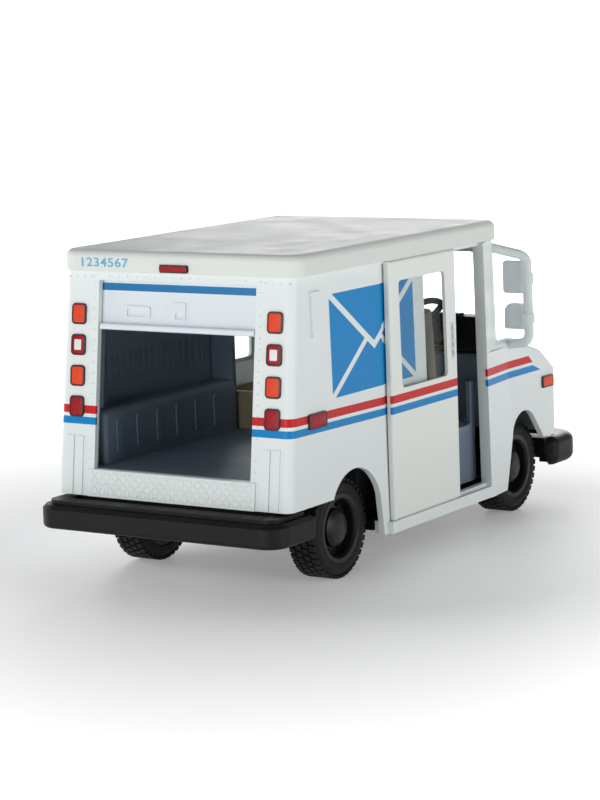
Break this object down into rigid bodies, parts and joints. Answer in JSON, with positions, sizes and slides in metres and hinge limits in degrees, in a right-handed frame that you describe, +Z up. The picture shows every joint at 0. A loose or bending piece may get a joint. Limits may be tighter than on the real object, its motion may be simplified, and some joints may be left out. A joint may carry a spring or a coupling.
{
  "type": "mail delivery truck",
  "caption": "Toy mail delivery van with sliding side doors, a roll-up rear door, an open load bay with wheel boxes, door mirrors on loops and free-rolling wheels.",
  "frame": {"origin": "on the ground under the middle of the whole toy", "axes": "+X to the van's nose, +Y to its left side, +Z up"},
  "size_m": [0.1238, 0.0652, 0.0632],
  "materials": {
    "body_white": "gloss white enamel",
    "roof_ivory": "satin moulded",
    "door_ivory": "satin moulded",
    "base_black": "satin moulded",
    "tub_blue_grey": "moulded",
    "seat_tan": "moulded",
    "dash_black": "moulded",
    "clear_glazing": "clear moulded",
    "rear_door_white": "satin moulded",
    "lamp_amber": "printed gloss",
    "lamp_red": "printed gloss",
    "lamp_clear": "silvered",
    "mirror_white": "satin moulded",
    "tyre_black": "matte",
    "rim_black": "satin moulded",
    "axle_steel": "bright wire",
    "gear_white": "natural nylon",
    "case_black": "moulded",
    "spring_steel": "blued strip",
    "screw_steel": "zinc plated"
  },
  "bodies": {
    "right_door": {"right_door": "door_ivory", "right_door_window": "clear_glazing"},
    "left_door": {"left_door": "door_ivory", "left_door_window": "clear_glazing"},
    "rear_door_lower": {"rear_door_lower": "rear_door_white"},
    "rear_door_middle": {"rear_door_middle": "rear_door_white"},
    "front_wheels": {"front_axle": "axle_steel", "front_left_tyre": "tyre_black", "front_left_rim": "rim_black", "front_right_tyre": "tyre_black", "front_right_rim": "rim_black"},
    "rear_wheels": {"rear_axle": "axle_steel", "rear_left_tyre": "tyre_black", "rear_left_rim": "rim_black", "rear_right_tyre": "tyre_black", "rear_right_rim": "rim_black", "axle_gear": "gear_white"},
    "winding_gear": {"winding_gear": "gear_white", "winding_arbor": "axle_steel"},
    "van": {"body_shell": "body_white", "roof_cap": "roof_ivory", "chassis_base": "base_black", "rear_bumper": "base_black", "front_bumper": "base_black", "base_screws": "screw_steel", "cargo_tub": "tub_blue_grey", "driver_seat": "seat_tan", "mail_tray": "seat_tan", "dashboard": "dash_black", "steering_column": "dash_black", "steering_wheel": "dash_black", "windscreen": "clear_glazing", "grille": "base_black", "headlamps": "lamp_clear", "turn_lamps": "lamp_amber", "wipers": "dash_black", "tail_lamps_amber": "lamp_amber", "tail_lamps_red": "lamp_red", "brake_lamp": "lamp_red", "rear_side_lamps": "lamp_red", "front_side_lamps": "lamp_amber", "left_mirror": "mirror_white", "right_mirror": "mirror_white", "rear_door_upper": "rear_door_white", "rear_door_tracks": "tub_blue_grey", "mainspring": "spring_steel", "motor_case_left": "case_black", "motor_case_right": "case_black"}
  },
  "joints": [
    {"name": "right_door_slide", "type": "slide", "parent": "van", "child": "right_door", "axis": [1, 0, 0], "range_m": [0, 0.0113]},
    {"name": "left_door_slide", "type": "slide", "parent": "van", "child": "left_door", "axis": [-1, 0, 0], "range_m": [0, 0.0113]},
    {"name": "rear_door_drop", "type": "slide", "parent": "van", "child": "rear_door_lower", "axis": [-0.1168, 0, -0.9932], "range_m": [0, 0.02608]},
    {"name": "rear_door_follow", "type": "slide", "parent": "van", "child": "rear_door_middle", "axis": [-0.1168, 0, -0.9932], "range_m": [0, 0.01305]},
    {"name": "front_wheels_roll", "type": "hinge", "parent": "van", "child": "front_wheels", "pos_m": [0.03734, 0, 0.00966], "axis": [0, 1, 0], "continuous": true},
    {"name": "rear_wheels_roll", "type": "hinge", "parent": "van", "child": "rear_wheels", "pos_m": [-0.03357, 0, 0.00966], "axis": [0, 1, 0], "continuous": true},
    {"name": "winding_gear_turn", "type": "hinge", "parent": "van", "child": "winding_gear", "pos_m": [-0.02516, 0, 0.01286], "axis": [0, 1, 0], "continuous": true}
  ],
  "couplings": [
    {"joint": "rear_door_follow", "follows": "rear_door_drop", "ratio": 0.5},
    {"joint": "winding_gear_turn", "follows": "rear_wheels_roll", "ratio": -0.5}
  ]
}
